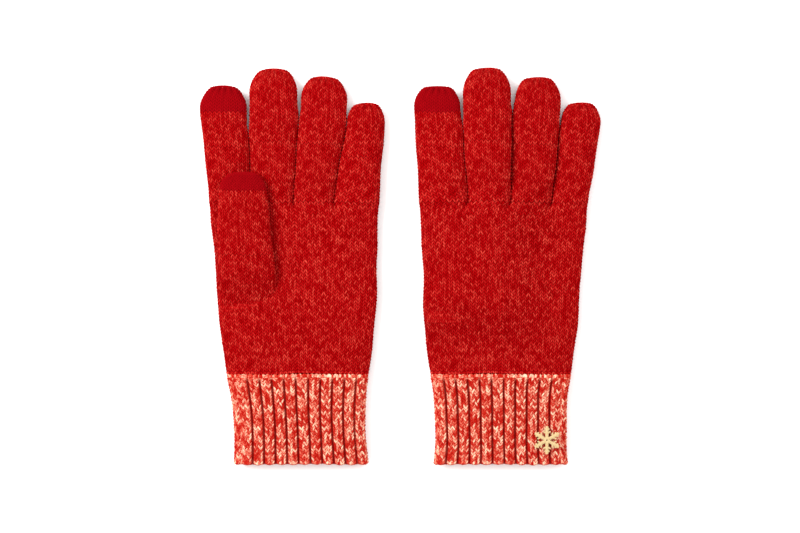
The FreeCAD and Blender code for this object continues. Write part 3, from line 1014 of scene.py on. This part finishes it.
def woolKnit(name, look):
    # melange wool: each leg of a stitch shows strands of other shades, and stray fibres soften it; painted
    # shade darkens the grooves between legs toward the groove colour
    material, tree = emptyMaterial(name)
    stitchPlace = addNode(tree, "ShaderNodeUVMap", uv_map="stitch").outputs["UV"]
    legPlace = addNode(tree, "ShaderNodeVectorMath", {0: stitchPlace, 1: (2, 1, 1)},
                       operation="MULTIPLY").outputs[0]
    legCell = addNode(tree, "ShaderNodeVectorMath", {0: legPlace}, operation="FLOOR").outputs[0]
    tone = addNode(tree, "ShaderNodeTexWhiteNoise", {"Vector": legCell},
                   noise_dimensions="2D").outputs["Value"]
    tone = addNode(tree, "ShaderNodeMath", {0: tone, 1: look["legShare"]}, operation="MULTIPLY").outputs[0]
    for grain, share in (look["strands"], look["patches"]):
        place = addNode(tree, "ShaderNodeVectorMath", {0: stitchPlace, 1: grain},
                        operation="MULTIPLY").outputs[0]
        noise = addNode(tree, "ShaderNodeTexNoise",
                        {"Vector": place, "Scale": 1.0, "Detail": 1.5, "Roughness": 0.6},
                        noise_dimensions="2D").outputs["Fac"]
        tone = addNode(tree, "ShaderNodeMath", {0: noise, 1: share, 2: tone},
                       operation="MULTIPLY_ADD").outputs[0]
    place = addNode(tree, "ShaderNodeTexCoord").outputs["Object"]
    fibre = addNode(tree, "ShaderNodeTexNoise", {"Vector": place, "Scale": 1 / (look["fibre"] * millimetre),
                                                 "Detail": 3.0, "Roughness": 0.7}).outputs["Fac"]
    tone = addNode(tree, "ShaderNodeMath", {0: fibre, 1: look["fibreShare"], 2: tone},
                   operation="MULTIPLY_ADD").outputs[0]
    shade = setRamp(addNode(tree, "ShaderNodeValToRGB", {"Fac": tone}), look["stops"])
    # painted shade: where a point's light share is low, in the grooves, the colour is mixed toward the dark
    # groove colour
    paintedLight = addNode(tree, "ShaderNodeAttribute", attribute_name="paintedLight").outputs["Fac"]
    lit = addNode(tree, "ShaderNodeMapRange", {"Value": paintedLight, "From Max": look["grooveTop"],
                                               "To Min": look["grooveLight"]}).outputs[0]
    colour = addNode(tree, "ShaderNodeMix", data_type="RGBA")
    colour.inputs[6].default_value = srgb(look["groove"])
    tree.links.new(lit, colour.inputs[0])
    tree.links.new(shade, colour.inputs[7])
    bump = addNode(tree, "ShaderNodeBump", {"Height": fibre, "Strength": look["bump"],
                                            "Distance": look["bumpHeight"] * millimetre}).outputs[0]
    shader = addNode(tree, "ShaderNodeBsdfPrincipled", {
        "Base Color": colour.outputs[2], "Normal": bump, "Roughness": look["roughness"],
        "Specular IOR Level": look["specular"], "Sheen Weight": look["sheen"], "Sheen Roughness": 0.6,
        "Sheen Tint": srgb(look["sheenTint"])})
    addNode(tree, "ShaderNodeOutputMaterial", {"Surface": shader.outputs[0]})
    return material


threadLook = {
    "twist": 0.5, "bump": 0.4, "bumpHeight": 0.1, "roughness": 0.6,  # the twist's grain in mm
    "stops": [(0.30, "#BB9E6D"), (0.55, "#CCB382"), (0.75, "#D6C193")],
}


def cottonThread(name, look):
    # mercerised cotton laid in satin stitch: smooth, with a soft gleam along each thread
    material, tree = emptyMaterial(name)
    place = addNode(tree, "ShaderNodeTexCoord").outputs["Object"]
    twist = addNode(tree, "ShaderNodeTexNoise", {"Vector": place, "Scale": 1 / (look["twist"] * millimetre),
                                                 "Detail": 2.0}).outputs["Fac"]
    shade = setRamp(addNode(tree, "ShaderNodeValToRGB", {"Fac": twist}), look["stops"])
    bump = addNode(tree, "ShaderNodeBump", {"Height": twist, "Strength": look["bump"],
                                            "Distance": look["bumpHeight"] * millimetre}).outputs[0]
    shader = addNode(tree, "ShaderNodeBsdfPrincipled",
                     {"Base Color": shade, "Normal": bump, "Roughness": look["roughness"]})
    addNode(tree, "ShaderNodeOutputMaterial", {"Surface": shader.outputs[0]})
    return material


lambswoolKnit = woolKnit("melange lambswool knit", lambswoolLook)
ribKnit = woolKnit("marled lambswool rib", ribLook)
linkKnit = woolKnit("marled lambswool linking", ribLook)
touchKnit = woolKnit("conductive wool blend", touchLook)
starThread = cottonThread("mercerised cotton embroidery", threadLook)
print("finishes mixed")

for side in ("left", "right"):
    glove = readGlove(side)
    handRing = makeHand(glove, lambswoolKnit)
    print(side, "hand knitted")
    makeCuff(glove, ribKnit, linkKnit)
    print(side, "cuff knitted")
    for name in fingerNames:
        makeFinger(glove, name, handRing, lambswoolKnit, touchKnit)
    makeThumb(glove, lambswoolKnit, touchKnit)
    print(side, "fingers and thumb knitted")

makeStar(starThread)
print("star embroidered")

studio = {
    "floor": 8.0, "floorColour": "#FDFDFC", "sky": 1.08,
    "lens": 100.0, "sensor": 36.0, "distance": 1.4,
    "lamps": {"key": ((-1.1, 0.6, 1.1), 29.0, 0.9),  # place from the gloves' middle, watts, size
              "fill": ((0.9, 0.7, 1.6), 13.0, 1.6)},
}

low, high = (np.array(corner) for corner in cadBox)
middle = (low + high) / 2
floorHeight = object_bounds()[0][2]
bpy.ops.mesh.primitive_plane_add(size=studio["floor"], location=(middle[0], middle[1], floorHeight))
floor = bpy.context.object
floor.name = "paleTable"
paper = bpy.data.materials.new("matt paper backdrop")
paper.use_nodes = True
paperShader = paper.node_tree.nodes["Principled BSDF"]
paperShader.inputs["Base Color"].default_value = srgb(studio["floorColour"])
paperShader.inputs["Roughness"].default_value = 1.0
floor.data.materials.append(paper)

world = bpy.data.worlds.new("soft white studio")
world.use_nodes = True
world.node_tree.nodes["Background"].inputs[0].default_value = (1, 1, 1, 1)
world.node_tree.nodes["Background"].inputs[1].default_value = studio["sky"]
bpy.context.scene.world = world

for name, (place, watts, size) in studio["lamps"].items():
    where = Vector(middle) + Vector(place)
    bpy.ops.object.light_add(type="AREA", location=where)
    lamp = bpy.context.object
    lamp.name = name
    lamp.data.energy = watts
    lamp.data.size = size
    lamp.rotation_euler = (Vector(middle) - where).to_track_quat("-Z", "Y").to_euler()

bpy.ops.object.camera_add(location=(middle[0], middle[1], high[2] + studio["distance"]))
camera = bpy.context.object
camera.data.lens = studio["lens"]
camera.data.sensor_width = studio["sensor"]
bpy.context.scene.camera = camera
bpy.context.scene.view_settings.view_transform = "Standard"
print("table, light and camera set")
